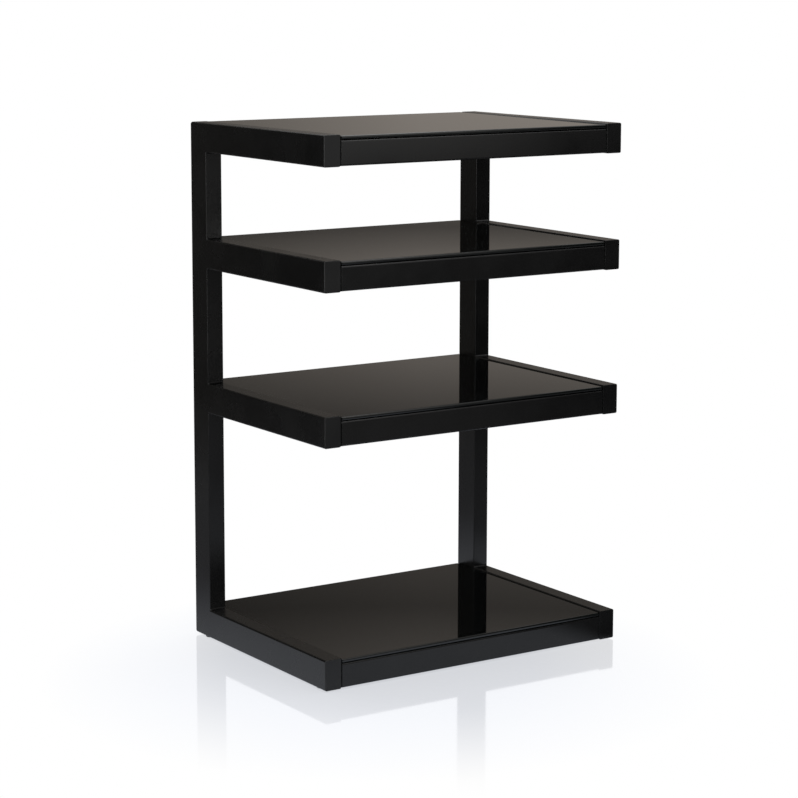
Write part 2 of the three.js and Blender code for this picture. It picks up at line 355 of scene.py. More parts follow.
def polished_edge():
    """Edge of the glass, ground round on a diamond wheel and polished: near black, with one thin line of
    light along its crown and faint traces of the wheel."""
    def surface(tree, place):
        flattened = add(tree, "ShaderNodeMapping", {"Vector": place, "Scale": WHEEL_LINE_SCALE})
        lines = add(tree, "ShaderNodeTexNoise",
                    {"Vector": flattened, "Scale": across(WHEEL_LINE_SIZE), "Detail": 4.0})
        colour, dullness = patterned(tree, lines, tones=("#070908", "#0d100f"), roughness=(0.08, 0.16))
        relief = add(tree, "ShaderNodeBump", {"Height": lines, "Strength": 0.15, "Distance": 0.02 * MM})
        return {"Base Color": colour, "Roughness": dullness, "Normal": relief}
    return new_material("polished_glass_edge", surface, IOR=1.52)


def clear_silicone():
    """Moulded silicone rubber: cloudy clear, a little tacky, with lint and fine pits."""
    def surface(tree, place):
        pits = add(tree, "ShaderNodeTexNoise",
                   {"Vector": place, "Scale": across(SILICONE_PIT_SIZE), "Detail": 3.0})
        colour, dullness = patterned(tree, pits, tones=("#c9cdce", "#e3e6e7"), roughness=(0.25, 0.45))
        relief = add(tree, "ShaderNodeBump", {"Height": pits, "Strength": 0.2, "Distance": 0.05 * MM})
        return {"Base Color": colour, "Roughness": dullness, "Normal": relief}
    return new_material("clear_moulded_silicone", surface, IOR=1.41, Transmission_Weight=0.5)


def black_oxide():
    """Black-oxide alloy steel of the socket screws: an oiled dark film over the turned metal."""
    def surface(tree, place):
        film = add(tree, "ShaderNodeTexNoise",
                   {"Vector": place, "Scale": across(OXIDE_FILM_SIZE), "Detail": 4.0})
        colour, dullness = patterned(tree, film, tones=("#1f1f21", "#38373a"), roughness=(0.32, 0.5))
        relief = add(tree, "ShaderNodeBump", {"Height": film, "Strength": 0.15, "Distance": 0.03 * MM})
        return {"Base Color": colour, "Roughness": dullness, "Normal": relief}
    return new_material("black_oxide_steel", surface, Metallic=0.9)


def bare_steel():
    """Spigots of drawn steel tube, masked from the powder: grey, with draw lines along the tube."""
    def surface(tree, place):
        stretched = add(tree, "ShaderNodeMapping", {"Vector": place, "Scale": DRAW_LINE_SCALE})
        lines = add(tree, "ShaderNodeTexNoise",
                    {"Vector": stretched, "Scale": across(DRAW_LINE_SIZE), "Detail": 3.0})
        colour, dullness = patterned(tree, lines, tones=("#6c6d6f", "#8f9092"), roughness=(0.3, 0.45))
        return {"Base Color": colour, "Roughness": dullness}
    return new_material("drawn_steel", surface, Metallic=1.0)


def moulded_polyethylene():
    """Injection-moulded polyethylene of the glides: waxy black with a fine moulded grain."""
    def surface(tree, place):
        grain = add(tree, "ShaderNodeTexNoise",
                    {"Vector": place, "Scale": across(MOULD_GRAIN_SIZE), "Detail": 3.0})
        colour, dullness = patterned(tree, grain, tones=("#101011", "#1c1c1d"), roughness=(0.45, 0.62))
        relief = add(tree, "ShaderNodeBump", {"Height": grain, "Strength": 0.3, "Distance": 0.04 * MM})
        return {"Base Color": colour, "Roughness": dullness, "Normal": relief}
    return new_material("moulded_polyethylene", surface, IOR=1.51)


def link(obj):
    """Puts an object into the scene."""
    bpy.context.scene.collection.objects.link(obj)
    return obj


def finish_piece(obj, slot, *nodes):
    """Says what a finished piece rides on and hides the nodes that it stands for. Its slot is not used.
    """
    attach(obj, "root")
    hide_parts(*nodes)


def side_outline(side):
    """Corners of a side frame from the side, as points of y and z, from the back down, forward and up.

    Each carries the radius of the edge that crosses the tube there."""
    post_low, post_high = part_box(f"{side}_post")
    points = [(post_high.y, post_low.z, FRAME_CORNER_RADIUS)]
    for level in LEVELS:
        low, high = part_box(f"{level}_{side}_arm")
        if level != LEVELS[0]:
            points.append((post_low.y, low.z, FRAME_WELD_FILLET))
        points.append((low.y, low.z, FRAME_FRONT_ARRIS))
        points.append((low.y, high.z, FRAME_FRONT_ARRIS))
        if level != LEVELS[-1]:
            points.append((post_low.y, high.z, FRAME_WELD_FILLET))
    points.append((post_high.y, post_high.z, FRAME_CORNER_RADIUS))
    return points


def side_frame(side, material):
    """Post and arms of one side as the one welded and ground frame that they are."""
    post_low, post_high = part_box(f"{side}_post")
    beam_low, beam_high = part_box("top_front_beam")
    faces_x = (post_low.x, beam_low.x) if side == "left" else (beam_high.x, post_high.x)
    outer_x = post_low.x if side == "left" else post_high.x
    outline = side_outline(side)
    front_y = min(y for y, z, radius in outline)

    mesh = bmesh.new()
    weight = mesh.edges.layers.float.new("bevel_weight_edge")
    rings = [[mesh.verts.new((x, y, z)) for y, z, radius in outline] for x in faces_x]
    for ring in rings:
        mesh.faces.new(ring)
    for i, (y, z, radius) in enumerate(outline):
        j = (i + 1) % len(outline)
        mesh.faces.new([rings[0][i], rings[1][i], rings[1][j], rings[0][j]])
        mesh.edges.get((rings[0][i], rings[1][i]))[weight] = radius / FRAME_CORNER_RADIUS
        # Edges along the arms, upright edges of the post, then upright edges of the arms' front ends
        for ring, x in zip(rings, faces_x):
            if y != outline[j][0]:
                edge_radius = FRAME_EDGE_RADIUS
            elif y != front_y:
                edge_radius = POST_EDGE_RADIUS
            else:
                edge_radius = FRAME_FRONT_ARRIS if x == outer_x else FRAME_GROOVE_ARRIS[side]
            mesh.edges.get((ring[i], ring[j]))[weight] = edge_radius / FRAME_CORNER_RADIUS
    bmesh.ops.recalc_face_normals(mesh, faces=mesh.faces)
    for face in mesh.faces:
        face.smooth = True

    name = f"{side}_side_frame"
    data = bpy.data.meshes.new(name)
    mesh.to_mesh(data)
    mesh.free()
    data.materials.append(material)
    piece = link(bpy.data.objects.new(name, data))
    bevel = piece.modifiers.new("ground_edges", "BEVEL")
    bevel.limit_method = "WEIGHT"
    bevel.width = FRAME_CORNER_RADIUS
    bevel.segments = FRAME_ROUND_STEPS
    bevel.use_clamp_overlap = False
    bevel.harden_normals = True
    finish_piece(piece, "frame", f"{side}_post", *(f"{level}_{side}_arm" for level in LEVELS))
    return piece


def new_tree(name, **sockets):
    """Geometry tree with these named inputs after its Geometry input. Returns it and its inputs."""
    tree = bpy.data.node_groups.new(name, "GeometryNodeTree")
    interface = tree.interface
    interface.new_socket("Geometry", in_out="INPUT", socket_type="NodeSocketGeometry")
    interface.new_socket("Geometry", in_out="OUTPUT", socket_type="NodeSocketGeometry")
    for socket, kind in sockets.items():
        interface.new_socket(socket, in_out="INPUT", socket_type=f"NodeSocket{kind}")
    return tree, add(tree, "NodeGroupInput").outputs


def end_tree(tree, given, shape, turn=0.0):
    """Ends a geometry tree: the shape with smooth rounds between sharp edges, a real copy of it on each
    point of the modified mesh, and the material."""
    angle = add(tree, "GeometryNodeInputMeshEdgeAngle")
    sharp = add(tree, "FunctionNodeCompare", {"A": angle, "B": SMOOTH_ANGLE}, operation="GREATER_THAN")
    smooth = add(tree, "GeometryNodeSetShadeSmooth", {"Geometry": shape, "Shade Smooth": True},
                 domain="FACE")
    edged = add(tree, "GeometryNodeSetShadeSmooth",
                {"Geometry": smooth, "Selection": sharp, "Shade Smooth": False}, domain="EDGE")
    points = add(tree, "GeometryNodeMeshToPoints", {"Mesh": given["Geometry"]})
    rotation = add(tree, "ShaderNodeCombineXYZ", {"Z": turn})
    copies = add(tree, "GeometryNodeInstanceOnPoints",
                 {"Points": points, "Instance": edged, "Rotation": rotation})
    real = add(tree, "GeometryNodeRealizeInstances", {"Geometry": copies})
    coated = add(tree, "GeometryNodeSetMaterial", {"Geometry": real, "Material": given["material"]})
    add(tree, "NodeGroupOutput", {"Geometry": coated})
    return tree


def bake(name, tree, places, arris=0.0, **sizes):
    """Runs a geometry tree on a point for each place and returns the result as a plain mesh object.

    Edges to which the tree gave a bevel weight are eased by the arris."""
    points = bpy.data.meshes.new(name)
    points.from_pydata(places, [], [])
    piece = link(bpy.data.objects.new(name, points))
    modifier = piece.modifiers.new(tree.name, "NODES")
    modifier.node_group = tree
    for item in tree.interface.items_tree:
        if item.in_out == "INPUT" and item.name in sizes:
            modifier[item.identifier] = sizes[item.name]
    if arris:
        bevel = piece.modifiers.new("eased_ends", "BEVEL")
        bevel.limit_method = "WEIGHT"
        bevel.width = arris
        bevel.segments = BEAM_ARRIS_STEPS
    piece.modifiers.new("even_normals", "WEIGHTED_NORMAL").keep_sharp = True
    shown = piece.evaluated_get(bpy.context.evaluated_depsgraph_get())
    piece.data = bpy.data.meshes.new_from_object(shown)
    piece.modifiers.clear()
    piece.data.name = name
    return piece


def round_bar(tree, length, depth, height, radius, steps, shift=0.0):
    """Solid bar along X with round long edges, moved along X by the shift."""
    outline = add(tree, "GeometryNodeCurvePrimitiveQuadrilateral", {"Width": depth, "Height": height})
    rounded = add(tree, "GeometryNodeFilletCurve", {"Curve": outline, "Count": steps, "Radius": radius},
                  mode="POLY")
    points = []
    for half in (-0.5, 0.5):
        end = add(tree, "ShaderNodeMath", {0: length, 1: half, 2: shift}, operation="MULTIPLY_ADD")
        points.append(add(tree, "ShaderNodeCombineXYZ", {"X": end}))
    line = add(tree, "GeometryNodeCurvePrimitiveLine", {"Start": points[0], "End": points[1]})
    return add(tree, "GeometryNodeCurveToMesh",
               {"Curve": line, "Profile Curve": rounded, "Fill Caps": True})


def upright_cone(tree, lower_radius, upper_radius, height, x, z, steps=TURNED_STEPS):
    """Cone or cylinder whose lower end is centred on x and z."""
    cone = add(tree, "GeometryNodeMeshCone",
               {"Vertices": steps, "Radius Bottom": lower_radius, "Radius Top": upper_radius,
                "Depth": height})
    place = add(tree, "ShaderNodeCombineXYZ", {"X": x, "Z": z})
    return add(tree, "GeometryNodeTransform", {"Geometry": cone, "Translation": place})


def bored(tree, given, steps, bore_length, shift=0.0):
    """Bar of the tree's length, depth, height and radius, and the bore that leaves the tree's wall."""
    walls = add(tree, "ShaderNodeMath", {0: given["wall"], 1: 2.0}, operation="MULTIPLY")
    depth = add(tree, "ShaderNodeMath", {0: given["depth"], 1: walls}, operation="SUBTRACT")
    height = add(tree, "ShaderNodeMath", {0: given["height"], 1: walls}, operation="SUBTRACT")
    radius = add(tree, "ShaderNodeMath", {0: given["radius"], 1: INSIDE_RADIUS_SHARE},
                 operation="MULTIPLY")
    bar = round_bar(tree, given["length"], given["depth"], given["height"], given["radius"], steps)
    return bar, round_bar(tree, bore_length, depth, height, radius, steps, shift)


def beam_tree():
    """Cross beam: a tube along X, countersunk from below near each end, with weights on its end edges."""
    tree, given = new_tree("countersunk_beam", length="Float", depth="Float", height="Float",
                           radius="Float", wall="Float", screw_inset="Float", screw_hole="Float",
                           material="Material")
    bore_length = add(tree, "ShaderNodeMath", {0: given["length"], 1: CUT_OVERRUN}, operation="ADD")
    bar, bore = bored(tree, given, BEAM_ROUND_STEPS, bore_length)

    # Countersunk seats, whose cones widen downwards by as much as they are deep
    half = add(tree, "ShaderNodeMath", {0: given["length"], 1: 0.5}, operation="MULTIPLY")
    screw_x = add(tree, "ShaderNodeMath", {0: half, 1: given["screw_inset"]}, operation="SUBTRACT")
    seat_z = add(tree, "ShaderNodeMath", {0: given["height"], 1: -0.5, 2: -CUT_OVERRUN},
                 operation="MULTIPLY_ADD")
    depth = add(tree, "ShaderNodeMath", {0: given["wall"], 1: 2 * CUT_OVERRUN}, operation="ADD")
    upper = add(tree, "ShaderNodeMath", {0: given["screw_hole"], 1: CUT_OVERRUN}, operation="SUBTRACT")
    lower = add(tree, "ShaderNodeMath", {0: upper, 1: depth}, operation="ADD")
    seats = []
    for sign in (-1.0, 1.0):
        seat_x = add(tree, "ShaderNodeMath", {0: screw_x, 1: sign}, operation="MULTIPLY")
        seats.append(upright_cone(tree, lower, upper, depth, seat_x, seat_z))
    beam = add(tree, "GeometryNodeMeshBoolean", {"Mesh 1": bar, "Mesh 2": [bore, *seats]},
               operation="DIFFERENCE", solver="EXACT")

    # Bevel weight of the sharp edges round both ends
    position = add(tree, "GeometryNodeInputPosition")
    x = add(tree, "ShaderNodeSeparateXYZ", {"Vector": position}).outputs["X"]
    reach = add(tree, "ShaderNodeMath", {0: x}, operation="ABSOLUTE")
    inside = add(tree, "ShaderNodeMath", {0: half, 1: SAME_POINT}, operation="SUBTRACT")
    at_end = add(tree, "ShaderNodeMath", {0: reach, 1: inside}, operation="GREATER_THAN")
    angle = add(tree, "GeometryNodeInputMeshEdgeAngle")
    sharp = add(tree, "ShaderNodeMath", {0: angle, 1: SMOOTH_ANGLE}, operation="GREATER_THAN")
    weight = add(tree, "ShaderNodeMath", {0: at_end, 1: sharp}, operation="MULTIPLY")
    eased = add(tree, "GeometryNodeStoreNamedAttribute",
                {"Geometry": beam, "Name": "bevel_weight_edge", "Value": weight},
                data_type="FLOAT", domain="EDGE")
    return end_tree(tree, given, eased)


def spigot_tree():
    """Spigot: a short tube whose root end is closed by its weld, with a screw hole in its lower wall."""
    tree, given = new_tree("welded_spigot", length="Float", depth="Float", height="Float", radius="Float",
                           wall="Float", screw_shift="Float", screw_hole="Float", turn="Float",
                           material="Material")
    bar, bore = bored(tree, given, SPIGOT_ROUND_STEPS, given["length"], given["wall"])
    hole_z = add(tree, "ShaderNodeMath", {0: given["height"], 1: -0.5, 2: -CUT_OVERRUN},
                 operation="MULTIPLY_ADD")
    hole_depth = add(tree, "ShaderNodeMath", {0: given["wall"], 1: 2.0}, operation="MULTIPLY")
    hole = upright_cone(tree, given["screw_hole"], given["screw_hole"], hole_depth, given["screw_shift"],
                        hole_z)
    spigot = add(tree, "GeometryNodeMeshBoolean", {"Mesh 1": bar, "Mesh 2": [bore, hole]},
                 operation="DIFFERENCE", solver="EXACT")
    return end_tree(tree, given, spigot, given["turn"])


def turned_tree(name, rings, socket=False):
    """Round part turned about the upright axis. It has a radius and a height input for each named ring,
    from the bottom up, and its lowest face has a hexagon socket if asked."""
    sizes = {f"{ring} {size}": "Float" for ring in rings for size in ("radius", "height")}
    if socket:
        sizes.update({"socket radius": "Float", "socket depth": "Float"})
    tree, given = new_tree(name, **sizes, material="Material")
    faces = []
    for ring, following in zip(rings, rings[1:]):
        depth = add(tree, "ShaderNodeMath", {0: given[f"{following} height"], 1: given[f"{ring} height"]},
                    operation="SUBTRACT")
        wall = add(tree, "GeometryNodeMeshCone",
                   {"Vertices": TURNED_STEPS, "Radius Bottom": given[f"{ring} radius"],
                    "Radius Top": given[f"{following} radius"], "Depth": depth}, fill_type="NONE")
        faces.append((wall, given[f"{ring} height"]))
    # Both end faces, the lower of which looks down
    for ring in (rings[0], rings[-1]):
        cap = add(tree, "GeometryNodeMeshCircle",
                  {"Vertices": TURNED_STEPS, "Radius": given[f"{ring} radius"]}, fill_type="NGON")
        if ring == rings[0]:
            cap = add(tree, "GeometryNodeFlipFaces", {"Mesh": cap})
        faces.append((cap, given[f"{ring} height"]))
    placed = []
    for face, z in faces:
        place = add(tree, "ShaderNodeCombineXYZ", {"Z": z})
        placed.append(add(tree, "GeometryNodeTransform", {"Geometry": face, "Translation": place}))
    joined = add(tree, "GeometryNodeJoinGeometry", {"Geometry": placed})
    body = add(tree, "GeometryNodeMergeByDistance", {"Geometry": joined, "Distance": SAME_POINT})
    if socket:
        depth = add(tree, "ShaderNodeMath", {0: given["socket depth"], 1: CUT_OVERRUN}, operation="ADD")
        hexagon = upright_cone(tree, given["socket radius"], given["socket radius"], depth, 0.0,
                               -CUT_OVERRUN, steps=SCREW_SOCKET_SIDES)
        body = add(tree, "GeometryNodeMeshBoolean", {"Mesh 1": body, "Mesh 2": hexagon},
                   operation="DIFFERENCE", solver="EXACT")
    return end_tree(tree, given, body)


def profile_sizes(profile):
    """Radius and height inputs of a turned part from its profile, a dictionary of named rings."""
    return {f"{ring} {size}": value
            for ring, pair in profile.items() for size, value in zip(("radius", "height"), pair)}


def centre(node):
    """Middle of a CAD node's box."""
    low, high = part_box(node)
    return (low + high) / 2


def foot(node):
    """Middle of the underside of a CAD node's box."""
    low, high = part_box(node)
    return Vector(((low.x + high.x) / 2, (low.y + high.y) / 2, low.z))


def corner_nodes(piece):
    """Names of the CAD nodes of a small piece that lies near each corner of every level."""
    return [f"{level}_{end}_{side}_{piece}" for level in LEVELS for end in ENDS for side in SIDES]


def make_beams(coat):
    """The eight cross beams, each where its CAD beam lies. Returns them."""
    tree = beam_tree()
    beams = []
    for level in LEVELS:
        for end in ENDS:
            node = f"{level}_{end}_beam"
            low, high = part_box(node)
            screw = centre(f"{level}_{end}_left_screw")
            beam = bake(f"{level}_{end}_cross_beam", tree, [centre(node)], BEAM_END_ARRIS,
                        length=high.x - low.x - 2 * BEAM_END_GAP, depth=high.y - low.y,
                        height=high.z - low.z, radius=BEAM_EDGE_RADIUS, wall=BEAM_WALL,
                        screw_inset=screw.x - low.x - BEAM_END_GAP,
                        screw_hole=SCREW_SHANK_RADIUS + SCREW_CLEARANCE, material=coat)
            finish_piece(beam, "beam", node)
            beams.append(beam)
    return beams


def make_spigots(steel):
    """The spigots of each side frame, inside the ends of the beams.

    They stand for no CAD node of their own."""
    tree = spigot_tree()
    low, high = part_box("top_front_beam")
    inset = 2 * (BEAM_WALL + SPIGOT_CLEARANCE)
    for side, root_x, sign in (("left", low.x, 1), ("right", high.x, -1)):
        places = []
        for level in LEVELS:
            for end in ENDS:
                middle = centre(f"{level}_{end}_beam")
                places.append((root_x + sign * SPIGOT_REACH / 2, middle.y, middle.z))
        screw = centre(f"top_front_{side}_screw")
        spigots = bake(f"{side}_spigots", tree, places, length=SPIGOT_REACH,
                       depth=high.y - low.y - inset, height=high.z - low.z - inset,
                       radius=BEAM_EDGE_RADIUS * INSIDE_RADIUS_SHARE, wall=SPIGOT_WALL,
                       screw_shift=abs(screw.x - root_x) - SPIGOT_REACH / 2,
                       screw_hole=SCREW_SHANK_RADIUS + SCREW_CLEARANCE,
                       turn=0.0 if sign > 0 else math.pi, material=steel)
        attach(spigots, "root")


def make_screws(steel):
    """The countersunk socket screws, head down in the underside of the beams."""
    nodes = corner_nodes("screw")
    low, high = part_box(nodes[0])
    head_radius, length = (high.x - low.x) / 2, high.z - low.z
    profile = {
        "head face": (head_radius - SCREW_HEAD_ARRIS, 0.0),
        "head edge": (head_radius, SCREW_HEAD_ARRIS),
        "neck": (SCREW_SHANK_RADIUS, BEAM_WALL),
        "shank end": (SCREW_SHANK_RADIUS, length - SCREW_TIP_CHAMFER),
        "tip": (SCREW_SHANK_RADIUS - SCREW_TIP_CHAMFER, length),
    }
    sizes = {
        **profile_sizes(profile),
        "socket radius": SCREW_SOCKET_RADIUS,
        "socket depth": SCREW_SOCKET_DEPTH,
    }
    tree = turned_tree("socket_screw", list(profile), socket=True)
    screws = bake("beam_screws", tree, [foot(node) for node in nodes], **sizes, material=steel)
    finish_piece(screws, "screw", *nodes)


def make_pads(silicone):
    """The silicone pads between the beams and the glass, with a quarter round above."""
    nodes = corner_nodes("pad")
    low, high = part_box(nodes[0])
    radius, height = (high.x - low.x) / 2, high.z - low.z
    profile = {"face": (radius, 0.0)}
    for step in range(TURNED_ROUND_STEPS + 1):
        angle = step / TURNED_ROUND_STEPS * math.pi / 2
        profile[f"round {step}"] = (radius - PAD_EDGE_ROUND * (1 - math.cos(angle)),
                                    height - PAD_EDGE_ROUND * (1 - math.sin(angle)))
    tree = turned_tree("round_pad", list(profile))
    pads = bake("shelf_pads", tree, [foot(node) for node in nodes], **profile_sizes(profile),
                material=silicone)
    finish_piece(pads, "pad", *nodes)


def make_glides(plastic):
    """The four glides under the bottom arms, each a rounded foot on a stem."""
    nodes = [f"{end}_{side}_glide" for end in ENDS for side in SIDES]
    low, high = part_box(nodes[0])
    radius, height = (high.x - low.x) / 2, high.z - low.z
    profile = {}
    for step in range(TURNED_ROUND_STEPS + 1):
        angle = step / TURNED_ROUND_STEPS * math.pi / 2
        profile[f"round {step}"] = (radius - GLIDE_EDGE_ROUND * (1 - math.sin(angle)),
                                    GLIDE_EDGE_ROUND * (1 - math.cos(angle)))
    profile.update({
        "foot top": (radius, GLIDE_FOOT_HEIGHT),
        "stem foot": (GLIDE_STEM_RADIUS, GLIDE_FOOT_HEIGHT),
        "stem": (GLIDE_STEM_RADIUS, height - GLIDE_STEM_CHAMFER),
        "stem tip": (GLIDE_STEM_RADIUS - GLIDE_STEM_CHAMFER, height),
    })
    tree = turned_tree("pressed_glide", list(profile))
    glides = bake("floor_glides", tree, [foot(node) for node in nodes], **profile_sizes(profile),
                  material=plastic)
    finish_piece(glides, "glide", *nodes)


def glass_ring(mesh, low, high, inset, z):
    """Ring of vertices round a shelf at a height, drawn in by the inset, with round corners."""
    ring = []
    reach = GLASS_CORNER_RADIUS - inset
    for corner in range(4):
        middle_x = high.x - GLASS_CORNER_RADIUS if corner in (0, 3) else low.x + GLASS_CORNER_RADIUS
        middle_y = high.y - GLASS_CORNER_RADIUS if corner in (0, 1) else low.y + GLASS_CORNER_RADIUS
        for step in range(GLASS_CORNER_STEPS + 1):
            angle = (corner + step / GLASS_CORNER_STEPS) * math.pi / 2
            ring.append(mesh.verts.new((middle_x + reach * math.cos(angle),
                                        middle_y + reach * math.sin(angle), z)))
    return ring


def glass_shelf(level, face_glass, edge_glass):
    """Shelf of plate glass with round corners, whose edge is ground and polished round."""
    node = f"{level}_glass_shelf"
    low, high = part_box(node)
    middle, half = (low.z + high.z) / 2, (high.z - low.z) / 2
    mesh = bmesh.new()
    rings = []
    for step in range(GLASS_EDGE_STEPS + 1):
        angle = (step / GLASS_EDGE_STEPS - 0.5) * math.pi
        inset = GLASS_EDGE_CROWN * (1 - math.cos(angle))
        rings.append(glass_ring(mesh, low, high, inset, middle + half * math.sin(angle)))
    mesh.faces.new(reversed(rings[0]))
    mesh.faces.new(rings[-1])
    for lower, upper in zip(rings, rings[1:]):
        for i in range(len(lower)):
            j = (i + 1) % len(lower)
            mesh.faces.new((lower[i], lower[j], upper[j], upper[i])).material_index = 1
    for face in mesh.faces:
        face.smooth = True
    data = bpy.data.meshes.new(node)
    mesh.to_mesh(data)
    mesh.free()
    data.materials.append(face_glass)
    data.materials.append(edge_glass)
    shelf = link(bpy.data.objects.new(f"{level}_glass", data))
    shelf.modifiers.new("even_normals", "WEIGHTED_NORMAL").keep_sharp = True
    finish_piece(shelf, "glass", node)


def make_camera():
    """Camera at the photograph's viewing angle."""
    camera = link(bpy.data.objects.new("photo_camera", bpy.data.cameras.new("photo_camera")))
    turn = (Matrix.Rotation(-CAMERA_YAW, 4, "Z") @ Matrix.Rotation(math.pi / 2 + CAMERA_PITCH, 4, "X")
            @ Matrix.Rotation(CAMERA_ROLL, 4, "Z"))
    camera.matrix_world = Matrix.Translation(CAMERA_PLACE) @ turn
    camera.data.lens = CAMERA_LENS
    camera.data.shift_y = CAMERA_SHIFT
    camera.data.clip_start = CAMERA_NEAR
    camera.data.clip_end = CAMERA_FAR
    bpy.context.scene.camera = camera


def make_world():
    """Plain soft daylight, with the white background for the camera, the gloss and the glass."""
    world = bpy.data.worlds.new("studio")
    bpy.context.scene.world = world
    world.use_nodes = True
    tree = world.node_tree
    tree.nodes.clear()
    rays = add(tree, "ShaderNodeLightPath").outputs
    seen = add(tree, "ShaderNodeMath", {0: rays["Is Camera Ray"], 1: rays["Is Glossy Ray"]},
               operation="MAXIMUM")
    shown = add(tree, "ShaderNodeMath", {0: seen, 1: rays["Is Transmission Ray"]}, operation="MAXIMUM")
    light = add(tree, "ShaderNodeBackground",
                {"Color": linear(DAYLIGHT), "Strength": DAYLIGHT_STRENGTH})
    white = add(tree, "ShaderNodeBackground", {"Color": linear(WHITE), "Strength": 1.0})
    mixed = add(tree, "ShaderNodeMixShader", {0: shown, 1: light, 2: white})
    add(tree, "ShaderNodeOutputWorld", {"Surface": mixed})


def painted_patch_mask(tree, place, reach, in_gloss):
    """Value that is 1 on the painted dark patch, for the gloss alone. reach is the distance from
    POOL_CENTRE.
    """
    axes = add(tree, "ShaderNodeSeparateXYZ", {"Vector": place}).outputs
    right = add(tree, "ShaderNodeMapRange",
                {"Value": axes["X"], "From Min": PAINTED_PATCH_EDGE_X[0], "From Max": PAINTED_PATCH_EDGE_X[1]})
    front = add(tree, "ShaderNodeMapRange",
                {"Value": axes["Y"], "From Min": PAINTED_PATCH_EDGE_Y[0], "From Max": PAINTED_PATCH_EDGE_Y[1],
                 "To Min": 1.0, "To Max": 0.0})
    near = add(tree, "ShaderNodeMapRange",
               {"Value": reach, "From Min": PAINTED_PATCH_REACH[0], "From Max": PAINTED_PATCH_REACH[1],
                "To Min": 1.0, "To Max": 0.0})
    corner = add(tree, "ShaderNodeMath", {0: right, 1: front}, operation="MULTIPLY")
    painted_patch = add(tree, "ShaderNodeMath", {0: corner, 1: near}, operation="MULTIPLY")
    return add(tree, "ShaderNodeMath", {0: painted_patch, 1: in_gloss}, operation="MULTIPLY")


def floor_tone(tree, reach, painted_patch, pale, to_camera):
    """Colour of the light from inside the floor: for the camera its own tones, with a painted bluish
    shade near the rack, and for all other rays painted darker tones of reflection and bounce light near
    the rack, with the painted dark patch in them."""
    painted_tone_share = add(tree, "ShaderNodeMath", {0: reach, 1: PAINTED_TONE_REACH}, operation="DIVIDE")
    painted_reflection = add(tree, "ShaderNodeValToRGB", {"Fac": painted_tone_share}, stops=PAINTED_REFLECTION_AND_BOUNCE_TONES)
    patched = add(tree, "ShaderNodeMix", {"Factor": painted_patch, "A": painted_reflection, "B": linear(PAINTED_PATCH_GREY)},
                 data_type="RGBA")
    near, away = GLOW_TONES
    shown = add(tree, "ShaderNodeMix", {"Factor": pale, "A": linear(near), "B": linear(away)},
                data_type="RGBA")
    return add(tree, "ShaderNodeMix", {"Factor": to_camera, "A": patched, "B": shown}, data_type="RGBA")


def backlit_acrylic():
    """White acrylic sheet lit from inside, with a polished face that mirrors the foot of the rack. Near
    the rack the camera sees it in a painted bluish shade, and away from the rack it goes over to the
    white of the background for the camera. For other rays its light is painted darker near the rack, as
    painted reflection and bounce light, with a painted dark patch that only the gloss shows, and it goes
    back to white beyond the scrim."""
    material, tree, place = empty_material("backlit_white_acrylic")
    rays = add(tree, "ShaderNodeLightPath").outputs
    reach = add(tree, "ShaderNodeVectorMath", {0: place, 1: POOL_CENTRE}, operation="DISTANCE")
    far = add(tree, "ShaderNodeMapRange",
              {"Value": reach, "From Min": POOL_REACH, "From Max": FADE_REACH},
              interpolation_type="SMOOTHSTEP")
    away = add(tree, "ShaderNodeVectorMath", {0: place, 1: GLOW_CENTRE}, operation="DISTANCE")
    pale = add(tree, "ShaderNodeMapRange",
               {"Value": away, "From Min": GLOW_REACH[0], "From Max": GLOW_REACH[1]})
    painted_patch = painted_patch_mask(tree, place, reach, rays["Is Glossy Ray"])
    clouds = add(tree, "ShaderNodeTexNoise",
                 {"Vector": place, "Scale": across(FLOOR_CLOUD_SIZE), "Detail": 3.0})
    colour, dullness = patterned(tree, clouds, FLOOR_WHITES, FLOOR_ROUGHNESS)

    sheet = add(tree, "ShaderNodeBsdfDiffuse", {"Color": colour})
    tone = floor_tone(tree, reach, painted_patch, pale, rays["Is Camera Ray"])
    glow = add(tree, "ShaderNodeEmission", {"Color": tone, "Strength": 1.0})
    clear = add(tree, "ShaderNodeMath", {0: far, 1: pale}, operation="MAXIMUM")
    bare_share = add(tree, "ShaderNodeMapRange", {"Value": clear, "To Min": GLOW_SHARE, "To Max": 1.0})
    glow_share = add(tree, "ShaderNodeMath", {0: bare_share, 1: painted_patch}, operation="MAXIMUM")
    body = add(tree, "ShaderNodeMixShader", {0: glow_share, 1: sheet, 2: glow})

    polish = add(tree, "ShaderNodeBsdfGlossy", {"Color": linear(WHITE), "Roughness": dullness})
    hidden = add(tree, "ShaderNodeMath", {0: far, 1: painted_patch}, operation="MAXIMUM")
    bright = add(tree, "ShaderNodeMapRange", {"Value": hidden, "To Min": 1.0, "To Max": 0.0})
    fresnel = add(tree, "ShaderNodeFresnel", {"IOR": FLOOR_IOR})
    mirror = add(tree, "ShaderNodeMath", {0: fresnel, 1: bright}, operation="MULTIPLY")
    mixed = add(tree, "ShaderNodeMixShader", {0: mirror, 1: body, 2: polish})
    add(tree, "ShaderNodeOutputMaterial", {"Surface": mixed})
    return material


def make_floor():
    """The flat studio floor. Returns it."""
    half = FLOOR_SIZE / 2
    corners = [(-half, -half, 0), (half, -half, 0), (half, half, 0), (-half, half, 0)]
    data = bpy.data.meshes.new("studio_floor")
    data.from_pydata(corners, [], [(0, 1, 2, 3)])
    data.materials.append(backlit_acrylic())
    floor = link(bpy.data.objects.new("studio_floor", data))
    return floor


